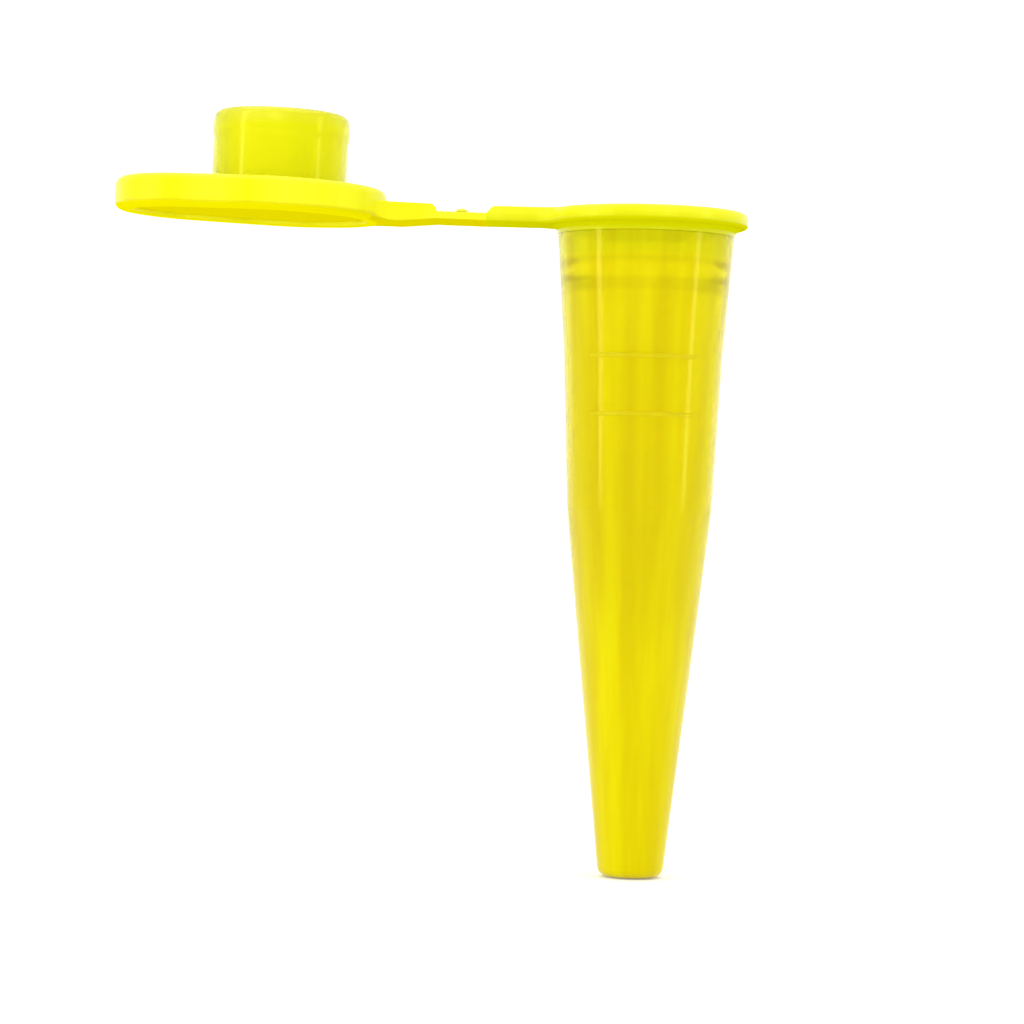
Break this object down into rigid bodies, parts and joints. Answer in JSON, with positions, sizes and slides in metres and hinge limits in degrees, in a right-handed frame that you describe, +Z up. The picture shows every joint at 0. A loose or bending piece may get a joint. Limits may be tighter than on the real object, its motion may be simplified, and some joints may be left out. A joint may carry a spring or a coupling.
{
  "type": "microcentrifuge tube",
  "caption": "Small tapered translucent yellow plastic tube with a rack flange, raised volume lines and an attached hinged cap with a hollow sealing plug and thumb tab, shown open.",
  "frame": {"origin": "on the tube axis, in the plane of the flange underside that rests on a rack", "axes": "+Z up the tube axis toward the mouth, the open cap lies toward -X, the volume marks face -Y"},
  "size_m": [0.0286, 0.0098, 0.0341],
  "materials": {
    "tube_plastic": "translucent, smooth, golden yellow in thick sections",
    "cap_plastic": "translucent, smooth, lemon yellow, faintly satin on the outer face",
    "plug_plastic": "translucent, smooth, lemon yellow",
    "hinge_plastic": "thin translucent film, paler where it is stretched",
    "mark_plastic": "same moulding as the wall, brighter along its edge"
  },
  "bodies": {
    "tube": {"rim_flange": "tube_plastic", "tube_body": "tube_plastic", "tube_cone": "tube_plastic", "tube_tip": "tube_plastic", "seal_ring": "tube_plastic", "volume_mark_upper": "mark_plastic", "volume_mark_lower": "mark_plastic", "tube_strap": "tube_plastic", "tube_film": "hinge_plastic"},
    "link": {"hinge_link": "hinge_plastic", "hinge_nub": "hinge_plastic"},
    "cap": {"cap_disc": "cap_plastic", "thumb_tab": "cap_plastic", "cap_rim": "cap_plastic", "cap_strap": "cap_plastic", "cap_film": "hinge_plastic", "sealing_plug": "plug_plastic", "plug_bead": "plug_plastic"}
  },
  "joints": [
    {"name": "fold_at_tube", "type": "hinge", "parent": "tube", "child": "link", "pos_m": [-0.00748, 0, 0.00017], "axis": [0, 1, 0], "range_deg": [0, 89.25]},
    {"name": "fold_at_cap", "type": "hinge", "parent": "link", "child": "cap", "pos_m": [-0.00918, 0, 0.00019], "axis": [0, 1, 0], "range_deg": [0, 89.25]}
  ],
  "couplings": [
    {"joint": "fold_at_cap", "follows": "fold_at_tube", "ratio": 1}
  ]
}
